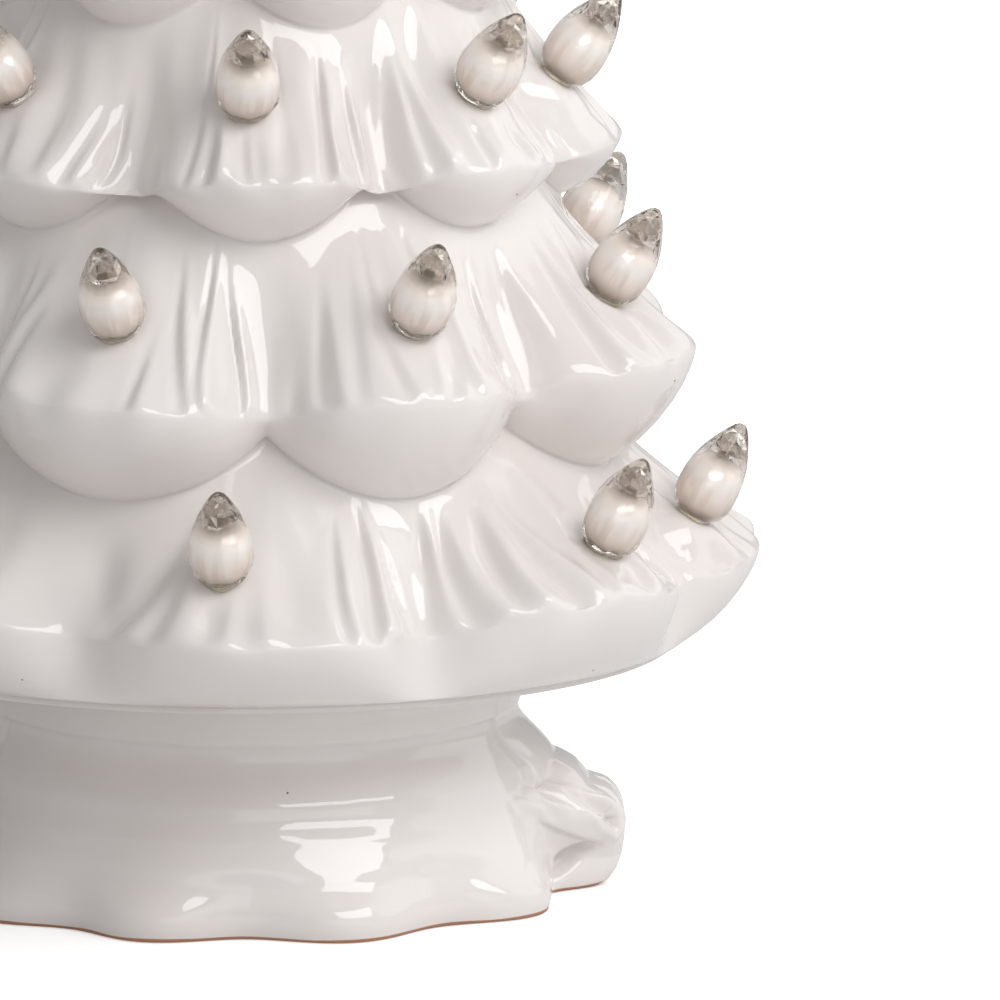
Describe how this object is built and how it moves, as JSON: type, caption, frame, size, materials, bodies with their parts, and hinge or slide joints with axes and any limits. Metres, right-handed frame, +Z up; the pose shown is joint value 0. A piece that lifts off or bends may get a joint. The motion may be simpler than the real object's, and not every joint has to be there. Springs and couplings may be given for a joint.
{
  "type": "lighted ceramic tree ornament",
  "caption": "White glazed ceramic christmas tree with puffy lobed branch tiers, clear flame bulbs and a ribboned base that hides a battery light.",
  "frame": {"origin": "middle of the foot, on the surface the tree stands on", "axes": "+Z up along the tree's axis to the star, -Y to the front of the picture, +X to its right"},
  "size_m": [0.2308, 0.2308, 0.3791],
  "materials": {
    "ceramic_glaze": "glossy white glaze over cast clay",
    "bulb_clear": "clear faceted moulded plastic",
    "cover_plastic": "moulded off-white plastic",
    "cell_wrap": "plain dark wrapped cell",
    "contact_metal": "bent plated strip",
    "switch_plastic": "moulded black plastic",
    "board_laminate": "white coated circuit board",
    "lamp_lens": "warm white lamp lens",
    "screw_steel": "plain steel",
    "lead_sleeve": "red wire sleeve"
  },
  "bodies": {
    "base": {"base_skirt": "ceramic_glaze", "bottom_cover": "cover_plastic", "battery_left": "cell_wrap", "battery_middle": "cell_wrap", "battery_right": "cell_wrap", "contact_springs": "contact_metal", "contact_plates": "contact_metal", "switch_body": "switch_plastic", "led_board": "board_laminate", "led_lamps": "lamp_lens", "board_screws": "screw_steel", "battery_lead": "lead_sleeve", "switch_lead": "lead_sleeve"},
    "tree": {"tree_shell": "ceramic_glaze", "star_topper": "bulb_clear", "bulbs_tier_1": "bulb_clear", "bulbs_tier_2": "bulb_clear", "bulbs_tier_3": "bulb_clear", "bulbs_tier_4": "bulb_clear", "bulbs_tier_5": "bulb_clear", "bulbs_tier_6": "bulb_clear", "bulbs_tier_7": "bulb_clear"},
    "door": {"battery_door": "cover_plastic"},
    "slider": {"switch_slider": "switch_plastic"}
  },
  "joints": [
    {"name": "tree_lift", "type": "slide", "parent": "base", "child": "tree", "axis": [0, 0, 1], "range_m": [0, 0.08]},
    {"name": "door_hinge", "type": "hinge", "parent": "base", "child": "door", "pos_m": [0, -0.0257, 0.0045], "axis": [-1, 0, 0], "range_deg": [0, 95]},
    {"name": "switch_slide", "type": "slide", "parent": "base", "child": "slider", "axis": [1, 0, 0], "range_m": [0, 0.004]}
  ]
}
